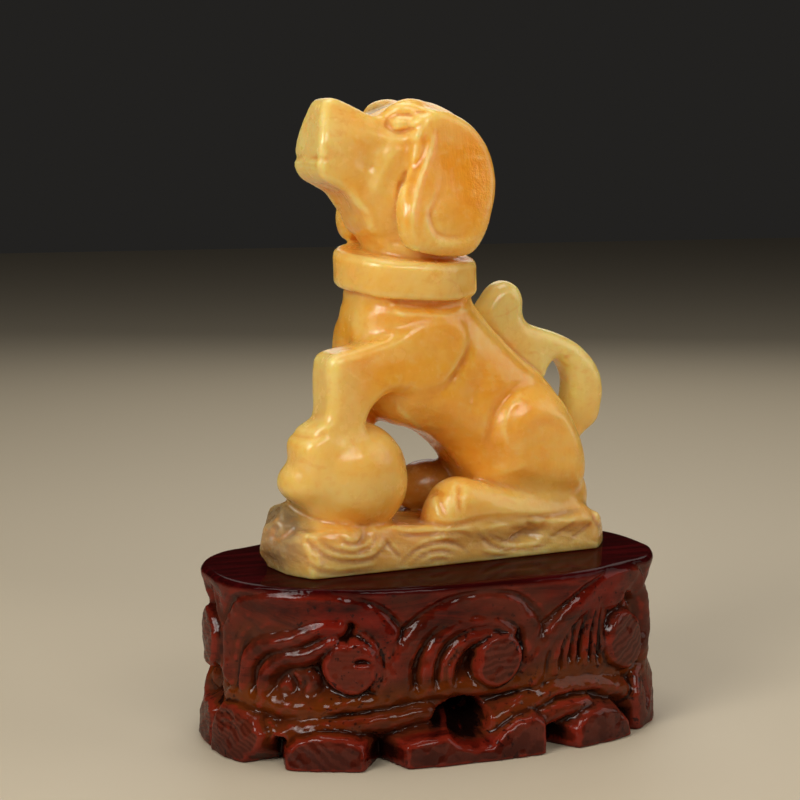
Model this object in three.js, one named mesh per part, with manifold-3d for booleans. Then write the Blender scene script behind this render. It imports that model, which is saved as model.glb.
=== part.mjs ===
// Seated dog carved from yellow jade, resting loose on a carved hardwood stand.
// Millimetres, +Z up. The origin is the middle of the stand's footprint, on the table.
// +X runs along the stand towards the dog's tail, and the dog looks towards -X.
import * as THREE from "three";
import { mergeVertices } from "three/addons/utils/BufferGeometryUtils.js";
import Module from "manifold-3d";

const wasm = await Module();
wasm.setup();

// ---------- Driving dimensions ----------
const STAND_LENGTH = 160; // at the rim
const STAND_WIDTH = 97;
const FOOT_FLARE = 3.5; // the feet spread this far beyond the rim, at the front and the back
const END_FLARE = 1.2; // and this far at the two ends
const STAND_HEIGHT = 59;
const OVAL_POWER = 2.5; // 2 is a true ellipse, more is squarer
const SKIRT_LIFT = 3; // the skirt between the feet stays this far above the table
const CAVITY_INSET = 19; // from the outer oval to the hollow under the stand
const CAVITY_HEIGHT = 25;
const FOOT_DEPTH = 15; // from the outer oval inwards
const BOSS_RADIUS = 9;
const BOSS_HEIGHT = 33; // height of the scroll bosses' centres above the table
const OVAL_SIDES = 72;

const DOG_HEIGHT = 158; // base to brow
const BASE_LENGTH = 121;
const BASE_CORNER = 13; // how much of the base's front corner on the dog's left is cut away
const BASE_WIDTH = 50;
const BASE_SHIFT = 0.5; // towards the tail
const BASE_HEIGHT = 13;
const BALL_RADIUS = 21.5;
const COLLAR_RADIUS = 25;
const DOG_TURN = THREE.MathUtils.degToRad(7); // the dog stands a little askew on its stand
const DOG_SHIFT = 3; // towards +Y
const SMALL_FORM = 13; // forms up to this radius are cut with fewer facets
const REST_GAP = 0.2; // between the stone's ground base and the lacquered top

// ---------- Solids from three.js geometry ----------
function solidOf(geometry) {
  const bare = geometry.clone();
  bare.deleteAttribute("normal");
  bare.deleteAttribute("uv");
  const merged = mergeVertices(bare, 1e-4);
  return new wasm.Manifold(
    new wasm.Mesh({
      numProp: 3,
      vertProperties: merged.attributes.position.array,
      triVerts: new Uint32Array(merged.index.array),
    }),
  );
}

function geometryOf(solid) {
  const mesh = solid.getMesh();
  const geometry = new THREE.BufferGeometry();
  geometry.setAttribute("position", new THREE.BufferAttribute(mesh.vertProperties, 3));
  geometry.setIndex(new THREE.BufferAttribute(mesh.triVerts, 1));
  geometry.computeVertexNormals();
  return geometry;
}

function joined(solids) {
  return solids.reduce((sum, next) => sum.add(next));
}

// ---------- The stand's oval ----------
function ovalPoint(angle, inset, endInset = inset) {
  const c = Math.cos(angle);
  const s = Math.sin(angle);
  return new THREE.Vector2(
    (STAND_LENGTH / 2 - endInset) * Math.sign(c) * Math.abs(c) ** (2 / OVAL_POWER),
    (STAND_WIDTH / 2 - inset) * Math.sign(s) * Math.abs(s) ** (2 / OVAL_POWER),
  );
}

// Angles against the distance along the rim, from the middle of the front towards +X.
const RIM = [{ run: 0, angle: -Math.PI / 2 }];
const RIM_STEPS = 720;
for (let i = 1; i <= RIM_STEPS; i++) {
  const angle = -Math.PI / 2 + (2 * Math.PI * i) / RIM_STEPS;
  const step = ovalPoint(angle, 0).distanceTo(ovalPoint(RIM[i - 1].angle, 0));
  RIM.push({ run: RIM[i - 1].run + step, angle });
}
const RIM_LENGTH = RIM[RIM_STEPS].run;

// A place on the oval, at a distance along the rim, with the direction that faces outwards there.
function rimPlace(run, inset) {
  const wrapped = THREE.MathUtils.euclideanModulo(run, RIM_LENGTH);
  const { angle } = RIM.find((r) => r.run >= wrapped);
  const point = ovalPoint(angle, inset);
  const ahead = ovalPoint(angle + 0.01, inset).sub(ovalPoint(angle - 0.01, inset));
  return { point, outward: Math.atan2(-ahead.x, ahead.y) };
}

// An upright oval prism whose inset from the outer oval changes with height.
function ovalPrism(profile) {
  const geometry = new THREE.CylinderGeometry(1, 1, 1, OVAL_SIDES, profile.length - 1);
  const at = geometry.attributes.position;
  for (let i = 0; i < at.count; i++) {
    const layer = Math.round((at.getY(i) + 0.5) * (profile.length - 1));
    const [z, inset, endInset] = profile[layer];
    const onRim = Math.hypot(at.getX(i), at.getZ(i)) > 0.5;
    const p = ovalPoint(Math.atan2(-at.getZ(i), at.getX(i)), inset, endInset);
    at.setXYZ(i, onRim ? p.x : 0, onRim ? p.y : 0, z);
  }
  return solidOf(geometry);
}

// A geometry built around Z, laid with its axis pointing out of the oval at a place on the rim.
function facingOut(geometry, run, height, inset) {
  const { point, outward } = rimPlace(run, inset);
  geometry.rotateZ(Math.PI / 2);
  geometry.rotateY(Math.PI / 2);
  geometry.rotateZ(outward);
  geometry.translate(point.x, point.y, height);
  return solidOf(geometry);
}

function ringTube(places, radius) {
  const path = new THREE.CatmullRomCurve3(
    places.map(([run, height, inset]) => {
      const { point } = rimPlace(run, inset);
      return new THREE.Vector3(point.x, point.y, height);
    }),
  );
  const section = new THREE.Shape().absarc(0, 0, radius, 0, 2 * Math.PI);
  return solidOf(
    new THREE.ExtrudeGeometry(section, { steps: 14, curveSegments: 3, extrudePath: path }),
  );
}

// ---------- The stand's carving ----------
// Runs and heights of one half. The other half is the same, half way round the oval.
const BOSSES = [-108, -45, 5, 59];
const FEET = [
  { from: -121, to: -103, top: 16 },
  { from: -99, to: -73, top: 17 },
  { from: -66, to: -41, top: 11 },
  { from: -28, to: -13, top: 10 },
  { from: -13, to: 3, top: 5.5 },
  { from: 3, to: 20, top: 11 },
  { from: 33, to: 58, top: 12 },
  { from: 62, to: 86, top: 25 },
];
const WINDOW = { run: -7, height: 13, radius: 7.5 }; // the hole above the longest foot
const SCROLLS = [
  { middle: -50, height: 33, reach: 20, rise: 19 },
  { middle: -4, height: 31, reach: 22, rise: 20 },
  { middle: 48, height: 33, reach: 23, rise: 20 },
  { middle: -104, height: 33, reach: 20, rise: 19 },
];

function bothHalves(make) {
  return [0, RIM_LENGTH / 2].map((shift) => make(shift));
}

function scroll({ middle, height, reach, rise }, shift) {
  const places = [];
  const turns = 8;
  for (let i = 0; i <= turns; i++) {
    const angle = Math.PI * (1.12 - (1.24 * i) / turns);
    places.push([
      shift + middle + reach * Math.cos(angle),
      height + rise * Math.sin(angle),
      3.4,
    ]);
  }
  return ringTube(places, 3);
}

function foot({ from, to, top }, shift) {
  const block = new THREE.BoxGeometry(to - from, top, 2 * FOOT_DEPTH);
  return facingOut(block, shift + (from + to) / 2, top / 2, 0);
}

function carvedStand() {
  const outer = ovalPrism([
    [0, -FOOT_FLARE, -END_FLARE],
    [9, -FOOT_FLARE * 0.8, -END_FLARE],
    [27, 0, 0],
    [STAND_HEIGHT, 0, 0],
  ]);
  const body = ovalPrism([
    [SKIRT_LIFT, 10],
    [12, 9],
    [16, 5.5],
    [21, 5],
    [26, 7.5],
    [34, 5],
    [46, 4.5],
    [53, 2],
    [56, 0.3],
    [57.5, 0],
    [STAND_HEIGHT, 1.5],
  ]);
  const bosses = BOSSES.flatMap((run) =>
    bothHalves((shift) => {
      const boss = new THREE.CylinderGeometry(BOSS_RADIUS * 0.85, BOSS_RADIUS, 9, 20);
      boss.rotateX(Math.PI / 2);
      return facingOut(boss, shift + run, BOSS_HEIGHT, 4.7);
    }),
  );
  const scrolls = SCROLLS.flatMap((s) => bothHalves((shift) => scroll(s, shift)));
  const feet = FEET.flatMap((f) => bothHalves((shift) => foot(f, shift)));
  const cavity = ovalPrism([
    [-1, CAVITY_INSET],
    [CAVITY_HEIGHT - 4, CAVITY_INSET],
    [CAVITY_HEIGHT, CAVITY_INSET + 4],
  ]);
  const windows = bothHalves((shift) => {
    const drill = new THREE.CylinderGeometry(WINDOW.radius, WINDOW.radius, 60, 20);
    drill.rotateX(Math.PI / 2);
    return facingOut(drill, shift + WINDOW.run, WINDOW.height, 0);
  });
  const carving = joined([body, ...bosses, ...scrolls, ...feet]);
  return carving.intersect(outer).subtract(joined([cavity, ...windows]));
}

// ---------- The dog, in its own frame: its base is at zero, its nose towards -X ----------
function ellipsoid([x, y, z], [rx, ry, rz], pitch = 0) {
  const sides = Math.max(rx, ry, rz) > SMALL_FORM ? 16 : 10;
  const geometry = new THREE.SphereGeometry(1, sides, sides / 2 + 1);
  geometry.rotateX(Math.PI / 2);
  geometry.scale(rx, ry, rz);
  geometry.rotateY(THREE.MathUtils.degToRad(pitch));
  geometry.translate(x, y, z);
  return solidOf(geometry);
}

// A side outline of [x, z] corners, cut through a thickness along Y and eased at its edges.
function slab(outline, middle, thickness, ease) {
  const shape = new THREE.Shape(outline.map(([x, z]) => new THREE.Vector2(x, z)));
  const geometry = new THREE.ExtrudeGeometry(shape, {
    depth: thickness - 2 * ease,
    bevelSize: ease,
    bevelThickness: ease,
    bevelOffset: -ease,
    bevelSegments: 2,
    curveSegments: 1,
  });
  geometry.translate(0, 0, ease - thickness / 2);
  geometry.rotateX(Math.PI / 2);
  geometry.translate(0, middle, 0);
  return solidOf(geometry);
}

// A chain of [x, y, z, radius] joints, round at each one and tapering between them.
function limb(joints) {
  const pieces = joints.map(([x, y, z, r]) => ellipsoid([x, y, z], [r, r, r]));
  for (let i = 1; i < joints.length; i++) {
    const [ax, ay, az, ar] = joints[i - 1];
    const [bx, by, bz, br] = joints[i];
    const from = new THREE.Vector3(ax, ay, az);
    const along = new THREE.Vector3(bx, by, bz).sub(from);
    const length = along.length();
    const cone = new THREE.CylinderGeometry(br, ar, length, 10);
    cone.translate(0, length / 2, 0);
    const turn = new THREE.Quaternion().setFromUnitVectors(
      new THREE.Vector3(0, 1, 0),
      along.normalize(),
    );
    cone.applyQuaternion(turn);
    cone.translate(ax, ay, az);
    pieces.push(solidOf(cone));
  }
  return joined(pieces);
}

// Both sides of the dog, where it is the same on each.
function pair(make) {
  return [make(-1), make(1)];
}

function base() {
  const half = BASE_LENGTH / 2;
  const side = BASE_WIDTH / 2;
  const outline = new THREE.Shape(
    [
      [0 - half, BASE_CORNER - side],
      [3 - half, 1 - side],
      [6 - half, -side],
      [half - 4, -side],
      [half, 4 - side],
      [half, side - 8],
      [half - 7, side - 1],
      [8 - half, side],
      [1 - half, side - 7],
    ].map(([x, y]) => new THREE.Vector2(x, y)),
  );
  const slab = new THREE.ExtrudeGeometry(outline, {
    depth: BASE_HEIGHT - 8,
    bevelSize: 3,
    bevelThickness: 4,
    bevelOffset: -3,
    bevelSegments: 2,
    curveSegments: 1,
  });
  slab.translate(BASE_SHIFT, 0, 4);
  const foot = new THREE.ExtrudeGeometry(outline, { depth: 5, bevelEnabled: false });
  foot.translate(BASE_SHIFT, 0, 0);
  const rocks = [
    ellipsoid([-46, 0, 11], [13, 18, 12.5]),
    ellipsoid([-28, 0, 9], [20, 22, 11]),
    ellipsoid([56, 0, 7], [9, 20, 8]),
  ];
  const room = new THREE.BoxGeometry(2 * BASE_LENGTH, 2 * BASE_WIDTH, DOG_HEIGHT);
  room.translate(0, 0, DOG_HEIGHT / 2);
  return joined([solidOf(slab), solidOf(foot), ...rocks]).intersect(solidOf(room));
}

function body() {
  return joined([
    limb([
      [-9, 0, 80, 22],
      [12, 0, 56, 21],
      [32, 0, 35, 23],
    ]),
    limb([
      [-8, 0, 82, 21],
      [-7, 0, 108, 19],
    ]),
    ellipsoid([-14, 0, 76], [17, 20, 17]),
    ellipsoid([-11, 0, 59], [15, 17, 13]),
    ...pair((side) => ellipsoid([33, 10 * side, 33], [24, 14, 25], 20)),
    ellipsoid([41, 0, 20], [19, 22, 16]),
  ]);
}

function collar() {
  const half = 7.5;
  const inner = COLLAR_RADIUS - 8;
  const profile = [
    [0, -half],
    [inner, -half],
    [COLLAR_RADIUS - 1.5, -half + 0.5],
    [COLLAR_RADIUS, -half + 2.5],
    [COLLAR_RADIUS, half - 2.5],
    [COLLAR_RADIUS - 1.5, half - 0.5],
    [inner, half],
    [0, half],
  ];
  const ring = new THREE.LatheGeometry(
    profile.map(([r, h]) => new THREE.Vector2(r, h)),
    36,
  );
  ring.rotateX(Math.PI / 2);
  ring.scale(1, 0.92, 1);
  ring.rotateY(THREE.MathUtils.degToRad(2));
  ring.translate(-9, 0, 98.5);
  return solidOf(ring);
}

function head() {
  const muzzle = [
    [-40, 155],
    [-30, 154],
    [-22, 150],
    [-8, 153],
    [2, 148],
    [2, 116],
    [-24, 112],
    [-29, 119],
    [-38, 128],
    [-45, 131],
    [-47, 136],
    [-45, 147],
  ];
  const ear = [
    [-12, 147],
    [0, 148],
    [9, 141],
    [12, 131],
    [10, 117],
    [5, 106],
    [-5, 104],
    [-16, 107],
    [-20, 112],
    [-16, 126],
    [-12, 137],
  ];
  return joined([
    ellipsoid([0, 0, 132], [21, 18, 23.5]),
    ellipsoid([-14, 0, 130], [17, 15, 18], 20),
    slab(muzzle, 0, 21, 4),
    ...pair((side) => ellipsoid([-11, 9 * side, 149], [10, 6, 6], 8)),
    ...pair((side) => slab(ear, 18.5 * side, 10, 3.5)),
  ]);
}

function legs() {
  const nearFore = joined([
    limb([
      [-14, -12, 70, 12],
      [-38, -13, 67, 9.5],
      [-41, -13, 62, 9],
      [-42, -12, 48, 8.5],
      [-48, -10, 42, 9],
    ]),
    ellipsoid([-52, -9, 43], [6, 8.5, 5.5]),
  ]);
  const farFore = limb([
    [-16, 11, 70, 12],
    [-24, 12, 46, 9.5],
    [-25, 12, 18, 9],
    [-36, 12, 16, 8],
  ]);
  const hind = pair((side) =>
    limb([
      [32, 15 * side, 20, 9],
      [14, 16 * side, 19, 8.5],
      [1, 16 * side, 18.5, 9],
    ]),
  );
  return joined([nearFore, farFore, ...hind]);
}

function tail() {
  return limb([
    [52, 2, 33, 8],
    [62, 3, 44, 8],
    [65, 3, 54, 7.5],
    [59, 3, 64, 7.5],
    [47, 3, 70, 7],
    [36, 3, 73, 7],
    [30, 3, 79, 7],
    [30, 3, 86, 7.5],
  ]);
}

function jadeDog() {
  const ball = ellipsoid([-35, -5, 27], [BALL_RADIUS, BALL_RADIUS, BALL_RADIUS]);
  return joined([base(), body(), collar(), head(), legs(), tail(), ball]);
}

// ---------- Materials and the assembly ----------
const jade = new THREE.MeshStandardMaterial({ color: 0xdb9c45, roughness: 0.18, metalness: 0 });
const rosewood = new THREE.MeshStandardMaterial({ color: 0x4a120b, roughness: 0.22, metalness: 0 });

const stand = new THREE.Mesh(geometryOf(carvedStand()), rosewood);
stand.name = "carved_wood_stand";

const dog = new THREE.Mesh(geometryOf(jadeDog()), jade);
dog.name = "jade_dog_carving";

const figure = new THREE.Group();
figure.position.set(0, DOG_SHIFT, STAND_HEIGHT + REST_GAP);
figure.rotation.z = DOG_TURN;
figure.add(dog);

const ornament = new THREE.Group();
ornament.add(stand, figure);

export default ornament;
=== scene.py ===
"""A seated dog carved from yellow jade, on a carved and lacquered hardwood stand.

Both pieces are sculpted as sampled solids (signed distances on a grid, negative inside),
turned into meshes, and given procedural materials. Shapes are written in millimetres.
"""
import math

import bpy
import numpy as np
import openvdb
from mathutils import Matrix, Vector


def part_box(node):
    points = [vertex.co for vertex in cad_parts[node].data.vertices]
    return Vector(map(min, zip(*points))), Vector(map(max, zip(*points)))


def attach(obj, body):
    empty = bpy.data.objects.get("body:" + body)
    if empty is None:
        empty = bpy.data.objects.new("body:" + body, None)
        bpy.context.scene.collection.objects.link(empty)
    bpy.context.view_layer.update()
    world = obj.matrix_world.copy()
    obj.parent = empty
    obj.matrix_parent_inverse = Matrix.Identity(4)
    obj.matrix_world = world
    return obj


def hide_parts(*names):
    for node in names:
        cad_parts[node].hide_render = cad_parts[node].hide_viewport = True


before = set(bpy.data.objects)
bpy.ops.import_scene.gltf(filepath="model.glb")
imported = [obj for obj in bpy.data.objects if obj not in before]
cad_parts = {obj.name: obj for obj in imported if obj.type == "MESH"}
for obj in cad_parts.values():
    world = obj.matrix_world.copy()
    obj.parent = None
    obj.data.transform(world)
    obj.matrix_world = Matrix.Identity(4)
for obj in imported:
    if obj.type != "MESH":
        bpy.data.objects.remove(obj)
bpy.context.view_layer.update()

STONE_STEP = 0.85  # grid spacing of the stone, in millimetres
WOOD_STEP = 0.92  # grid spacing of the stand
BATCH = 4000  # points measured at a time
AWAY = 25.0  # the distance held where no surface is near
PAST = 99  # beyond the end of either piece

# ---------- Driving values, in millimetres ----------
SEAT = float(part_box("carved_wood_stand")[1][2]) * 1000  # height of the stand's flat top
DOG_FLOOR = float(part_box("jade_dog_carving")[0][2]) * 1000  # height of the stone's ground base
DOG_TURN = math.radians(7)  # the dog stands a little askew
DOG_SHIFT = 3.0  # and a little behind the middle
RIM_HALF = (80.0, 48.5)  # the stand's oval at its rim
RIM_POWER = 2.5  # how square the oval is (2 is an ellipse)
FLARE_TOP, FLARE_RUN = 26, 18  # the stand widens below this height, over this much of it
FLARE_SIDE, FLARE_END = 3.4, 1.0  # how far it widens at its long sides and at its ends
WALL = 19  # its wall round the hollow underneath
HOLLOW_TOP = 25  # height of that hollow
RELIEF_STEP = 0.4  # grid spacing of its painted relief
RELIEF_START = -122.0  # run along the rim at which the relief's half turn begins
ROCK = (-53.5, -2.5, 11.5)  # middle of the clear rock at the plinth's front left corner
NECK = (-9, 0.9)  # the collar's middle in X, and its width in Y over that in X
LINE_ENDS = (0.25, 0)  # the fade and lip of an engraved line where its row doesn't say
LIP_OFFSET = 1.7  # the lip's height over its line, in widths of the line

# Planes that facet the clear rock: direction out of it, and distance from its middle.
ROCK_FACETS = (
    (-0.9, -0.42, 0.1, 9.5), (-0.45, -0.85, 0.28, 9.8), (-0.7, 0.1, 0.7, 9.4), (-0.25, -0.6, 0.75, 9.6),
    (-0.85, 0.5, 0.2, 9.2), (-0.8, -0.2, -0.56, 10.2), (0.1, 0.3, 0.95, 10.6),
)
# Wave lines cut in the plinth's flanks, x and z in turn.
WAVES = (
    [-55, 17, -53, 11, -49, 7, -42, 5, -34, 5, -29, 8, -25, 10.5],
    [-51, 13, -47, 9.4, -41, 8, -35, 8.6, -31.5, 12, -31, 15],
    [-45, 13.5, -42, 11, -38, 11, -36, 14],
    [-24, 1, -20, 4.2, -14, 7, -6, 8, 0, 6.5, 6, 2],
    [-19, 2, -13, 4.6, -6, 5, 0, 3],
    [-26, 14, -19, 11.5, -10, 11, 0, 11, 5, 9],
    [5, 12, 9, 8.5, 13, 5.4, 20, 3, 30, 2.6, 40, 5, 50, 9],
    [4, 12.2, 11, 13, 20, 12.6, 29, 11, 32, 8.4],
    [11, 10, 16, 11, 24, 10.4, 26.5, 9, 22, 6.6, 18, 6, 13, 8.4, 11, 10],
    [32, 4, 40, 7, 47, 11],
    [42, 3.2, 50, 7, 55, 11.5],
    [-57, 9, -54, 4, -47, 1.6, -38, 1.2, -28, 2.5],
    [-14, 1.4, -8, 2.4, -2, 1.2],
    [-28, 12, -25, 7.5, -22, 4.5],
    [8, 3, 14, 1.2, 24, 0.8],
)

# Paths and outlines here and below are mostly one row of alternating numbers: x and z on the dog,
# run along the rim and height on the stand.

# Lines cut by hand on both of the dog's flanks. Each is a path of x and z, the groove's width
# and depth (a bead where it is negative) and the distance from the middle plane it starts at, then
# maybe the share of its ends that fades and the height of the lip along its upper edge.
FLANK_LINES = (
    # Eye: a lens in a teardrop socket under a curled brow.
    ([-21.4, 148.2, -20.2, 146.1, -17.6, 145.2, -14.6, 146.2, -12.2, 148.6], 0.85, 0.85, 5, 0.15),
    ([-21, 149, -18.8, 150.5, -16, 150.9, -13.4, 150.2], 0.75, 0.65, 5, 0.15),
    ([-20.7, 149.2, -20.2, 147.8, -19.2, 146.7], 1.1, 0.8, 5, 0.1),
    ([-12.8, 151.2, -10.4, 151.6, -9.0, 150.2], 0.8, 0.45, 5, 0.2),
    ([-20, 153, -15.5, 154, -10.5, 153.3, -6, 151], 1.3, -0.5, 4),
    ([-25, 145, -20, 142.8, -14.5, 143.5, -10.8, 146.4], 1.2, -0.5, 5),
    # Cheek, jaw and lips.
    ([-15.5, 143, -20.5, 138.5, -23.5, 133, -26, 128, -28.5, 122], 2.4, -0.9, 5, 0.2),
    ([-24, 143, -28, 138, -30, 132], 3.2, 0.7, 5),
    ([-42, 129.5, -36, 125.5, -31, 121, -27, 118], 1.4, -0.5, 3),
    ([-47.5, 137, -45, 136.6, -42.5, 136.2], 0.9, 0.7, 2, 0.3),
    # Ear: a trough behind its front edge, and an inner crescent.
    ([-12.3, 148, -12.2, 142, -13.4, 137, -15.8, 132, -18, 126.5, -19.6, 121], 1.4, 1.15, 8, 0.2),
    ([-11, 147.5, -9, 143.5, -10.6, 138, -13, 133.5, -15.6, 128.5, -17.6, 123, -19, 117.5, -18.6, 112],
     1.0, -0.65, 9, 0.15),
    ([-6, 133, -7.5, 127, -9.5, 122.5, -12, 118, -10.6, 113.5, -7, 111.2, -1, 111, 2.2, 114, 4, 120], 1.4,
     0.7, 10, 0.4),
    ([-8.5, 131, -10, 125, -13.5, 119, -13, 112.5, -8, 108.7, 0, 108.6, 5, 112], 1.4, -0.35, 10),
    # Folds round the throat and under the collar.
    ([-26, 109.5, -20, 107.6, -14, 106.4], 1.2, -0.5, 4),
    ([-27.5, 88.6, -15, 87.4, -4, 87, 6, 87.6, 12, 89], 1.2, 0.6, 0, 0.2),
    ([-28, 86.2, -15, 84.8, -4, 84.4, 8, 85.4], 1.3, -0.45, 0, 0.2),
    # Shoulder and flank creases.
    ([7, 77, 4.5, 71.5, 1, 66, -3.5, 61.5, -10, 59], 1.3, 0.6, 5, 0.35),
    ([6, 74, 3, 68, -2, 61, -9, 55], 1.6, 0.45, 5),
    ([16, 72, 10, 62, 7, 52, 9, 42], 3.5, 0.9, 6, 0.4),
    ([-21, 57, -18.5, 52.5, -13, 48.5, -7, 44.5], 1.1, -0.5, 4),
    # Haunch.
    ([16, 34, 13.6, 41.5, 14.5, 49, 18.5, 54.8, 25.5, 58.8, 33, 59], 1.7, 0.7, 6),
    ([19.5, 38, 17.4, 43.5, 18.4, 49, 22, 53.6, 28, 56], 1.6, -0.7, 8),
    ([25, 47, 33, 49.5, 41, 47, 46, 40, 47, 33], 2.2, -0.45, 8, 0.3),
    ([27, 44, 33, 46, 39, 43.5, 43, 37], 2.4, 0.35, 8, 0.3),
    ([3, 29, 11, 27, 20, 24.6, 29, 22, 37, 20.4], 1.6, 0.8, 5, 0.4),
    # Toes and the rocks' edge under the feet.
    ([-3.4, 25.5, -5.6, 21.5, -5.4, 16], 0.95, 0.9, 10),
    ([1.8, 27, -0.4, 22.5, 0.2, 16.5], 0.95, 0.9, 10),
    ([-9.5, 14.6, -3, 13.6, 8, 14.6, 22, 14.2, 36, 13.4, 50, 14], 1.2, 1.1, 8, 0.1),
    # Waves on the plinth.
    *((wave, 0.85, 0.7, 9, 0.3, 0.34) for wave in WAVES),
    # Hollows between the waves, and cracks in the rocks.
    ([27.5, 8.5, 23, 6.6], 3.0, 2.2, 9, 0),
    ([34, 10.5, 31, 8], 2.6, 1.2, 9, 0),
    ([54, 13, 56, 9, 60, 6], 1.0, 0.8, 6),
    ([-35.5, 12.5, -36.5, 10], 3.2, 1.9, 9, 0),
    ([-53, 9, -56, 14], 0.9, 0.9, 2),
    ([-53, 9, -52.5, 3], 0.9, -0.7, 2),
)
# Lines on the near flank only: the paw's knuckles, the ball's lower edge and the mark on the rock.
NEAR_LINES = (
    ([-31, 50, -37, 44.5, -44, 40, -50, 37], 2.6, 0.3, 2),
    ([-57, 46.5, -52, 46.5, -48, 48.5], 1.1, 0.6, 2),
    ([-56, 23.6, -50, 19, -43, 16.6, -35, 16, -29.5, 18, -24, 23], 1.5, 0.6, 6),
    ([-23, 42, -17.5, 39, -13.5, 33], 1.2, -0.3, 4),
    ([-61, 16.5, -61.6, 12, -59, 13, -56.5, 15.5], 0.9, 0.9, 2),
)


# ---------- Sampled solids ----------
def smooth_min(a, b, k):
    h = np.maximum(k - np.abs(a - b), 0) / k
    return np.minimum(a, b) - h * h * k * 0.25


class Solid:
    """Signed distances on a regular grid, negative inside."""

    def __init__(self, low, high, step):
        self.low = np.array(low, np.float32)
        self.step = step
        self.count = [int(math.ceil((h - l) / step)) + 1 for l, h in zip(low, high)]
        self.axes = [np.float32(l + step * np.arange(n)) for l, n in zip(low, self.count)]
        self.d = np.full(self.count, AWAY, np.float32)

    def block(self, low, high):
        cut, at = [], []
        for i in range(3):
            a = int(np.clip(math.floor((low[i] - self.low[i]) / self.step), 0, self.count[i]))
            b = int(np.clip(math.ceil((high[i] - self.low[i]) / self.step) + 1, 0, self.count[i]))
            cut.append(slice(a, b))
            shape = [1, 1, 1]
            shape[i] = b - a
            at.append(self.axes[i][a:b].reshape(shape))
        return tuple(cut), at

    def add(self, shape, k, sign=1, pad=6):
        """Joins a shape, blended over a width k."""
        distance, low, high = shape
        part, at = self.block(np.array(low) - pad - k, np.array(high) + pad + k)
        self.d[part] = sign * smooth_min(sign * self.d[part], distance(*at), k)

    def cut(self, shape, k):
        """Takes a shape away."""
        self.add(shape, k, -1, 4)

    def merge(self, other, k=1.0):
        """Joins another solid on the same grid spacing."""
        at = np.round((other.low - self.low) / self.step).astype(int)
        mine, theirs = [], []
        for i in range(3):
            a, b = max(at[i], 0), min(at[i] + other.count[i], self.count[i])
            mine.append(slice(a, b))
            theirs.append(slice(a - at[i], b - at[i]))
        mine, theirs = tuple(mine), tuple(theirs)
        self.d[mine] = smooth_min(self.d[mine], other.d[theirs], k)

    def engrave(self, path, width, depth, side, inner, taper):
        """Sinks a groove along a path of [x, z] points on one flank (raises it if depth < 0)."""
        line = curve_through(path)
        low = [line[:, 0].min() - 3 * width, -PAST, line[:, 1].min() - 3 * width]
        high = [line[:, 0].max() + 3 * width, PAST, line[:, 1].max() + 3 * width]
        cut, (x, y, z) = self.block(low, high)
        near, run = nearest(line, x.reshape(-1, 1), z.reshape(1, -1))
        strength = np.clip(np.minimum(run, 1 - run) / taper, 0.15, 1) if taper else 1.0
        push = depth * strength * np.exp(-near / width**2)
        reach = np.clip((side * y - inner) / 4, 0, 1)
        self.d[cut] += push[:, None, :] * reach

    def sample(self, values, points):
        """Values given on the grid, read between its points."""
        g = (points - self.low) / self.step
        i = np.clip(np.floor(g).astype(int), 0, np.array(self.count) - 2)
        f = g - i
        out = 0
        for corner in np.ndindex(2, 2, 2):
            wx, wy, wz = np.abs(1 - np.array(corner) - f).T
            out = out + wx * wy * wz * values[tuple((i + corner).T)]
        return out

    def bend(self):
        """How hollow the surface is: positive in creases, negative on ridges."""
        lap = np.zeros_like(self.d)
        c = self.d[1:-1, 1:-1, 1:-1]
        total = self.d[2:, 1:-1, 1:-1] + self.d[:-2, 1:-1, 1:-1]
        total = total + self.d[1:-1, 2:, 1:-1] + self.d[1:-1, :-2, 1:-1]
        total = total + self.d[1:-1, 1:-1, 2:] + self.d[1:-1, 1:-1, :-2]
        lap[1:-1, 1:-1, 1:-1] = (6 * c - total) / self.step**2
        return lap

    def skin(self):
        """Points and four-sided faces of the surface."""
        grid = openvdb.FloatGrid(background=AWAY)
        grid.copyFromArray(self.d)
        points, quads = grid.convertToQuads(isovalue=0.0)
        return points * self.step + self.low, quads


def curve_through(points, closed=False, per=5):
    """A smooth curve through points, given as pairs or as one row of alternating numbers."""
    p = np.array(points, float).reshape(-1, 2)
    n = len(p)
    out = []
    for i in range(n if closed else n - 1):
        if closed:
            a, b, c, d = (p[j % n] for j in (i - 1, i, i + 1, i + 2))
        else:
            a, b, c, d = (p[min(max(j, 0), n - 1)] for j in (i - 1, i, i + 1, i + 2))
        for s in range(per):
            t = s / per
            out.append(
                0.5 * (2 * b + (c - a) * t + (2 * a - 5 * b + 4 * c - d) * t * t)
                + 0.5 * (3 * b - a - 3 * c + d) * t**3
            )
    if not closed:
        out.append(p[-1])
    return np.array(out)


def nearest(line, x, z):
    """Squared distance to a line of [x, z] points, and how far along it (0 to 1) the nearest is."""
    shape = np.broadcast(x, z).shape
    best, along = np.full(shape, 1e9, x.dtype), np.zeros(shape, x.dtype)
    for i in range(len(line) - 1):
        (ax, az), (bx, bz) = line[i], line[i + 1]
        ex, ez = bx - ax, bz - az
        t = np.clip(((x - ax) * ex + (z - az) * ez) / (ex * ex + ez * ez + 1e-9), 0, 1)
        dd = (x - ax - t * ex) ** 2 + (z - az - t * ez) ** 2
        closer = dd < best
        best = np.where(closer, dd, best)
        along = np.where(closer, (i + t) / (len(line) - 1), along)
    return best, along


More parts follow.
